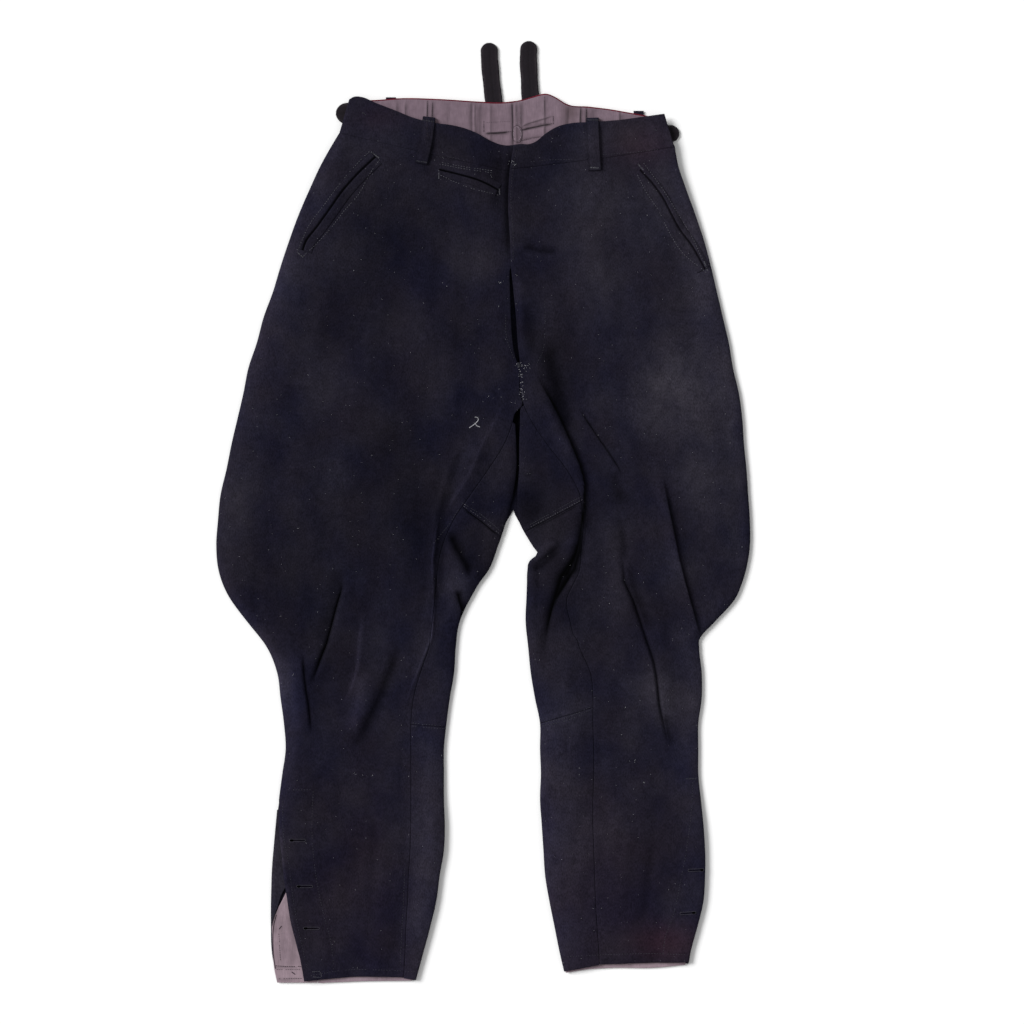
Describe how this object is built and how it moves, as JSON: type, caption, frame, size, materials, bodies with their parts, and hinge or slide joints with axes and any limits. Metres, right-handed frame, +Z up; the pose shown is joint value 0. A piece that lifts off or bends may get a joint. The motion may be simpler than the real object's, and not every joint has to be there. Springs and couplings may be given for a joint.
{
  "type": "riding breeches",
  "caption": "Wool riding breeches laid flat, flared at the thigh and narrow at the calf, with open fly, slant pockets, waist tabs and buttoned ankle plackets.",
  "frame": {"origin": "on the table, under the middle of the laid garment's outline", "axes": "+X to the wearer's left, +Y from the hems to the waist, +Z up from the table"},
  "size_m": [0.6303, 1.1139, 0.0194],
  "materials": {
    "navy_wool": "matt, dense wool twill, worn and slightly faded",
    "mauve_twill": "matt cotton twill",
    "dark_tape": "matt doubled cloth tape"
  },
  "bodies": {
    "root": {"back_right": "navy_wool", "back_left": "navy_wool", "front_right": "navy_wool", "front_left": "navy_wool", "saddle_patch_right": "navy_wool", "saddle_patch_left": "navy_wool", "inner_thigh_right": "navy_wool", "inner_thigh_left": "navy_wool", "inner_calf_right": "navy_wool", "inner_calf_left": "navy_wool", "waistband_front_right": "navy_wool", "waistband_front_left": "navy_wool", "waistband_back_right": "navy_wool", "waistband_back_left": "navy_wool", "waist_lining": "mauve_twill", "slant_pocket_right": "navy_wool", "slant_pocket_left": "navy_wool", "watch_pocket": "navy_wool", "belt_loop_front_right": "navy_wool", "belt_loop_front_left": "navy_wool", "belt_loop_back_right": "navy_wool", "belt_loop_back_left": "navy_wool", "brace_tab_right": "dark_tape", "brace_tab_left": "dark_tape", "adjuster_tab_right": "dark_tape", "adjuster_tab_left": "dark_tape", "vent_lining_right": "mauve_twill", "button_stand_right": "navy_wool", "hem_facing_right": "mauve_twill", "hem_facing_left": "mauve_twill"}
  },
  "joints": []
}
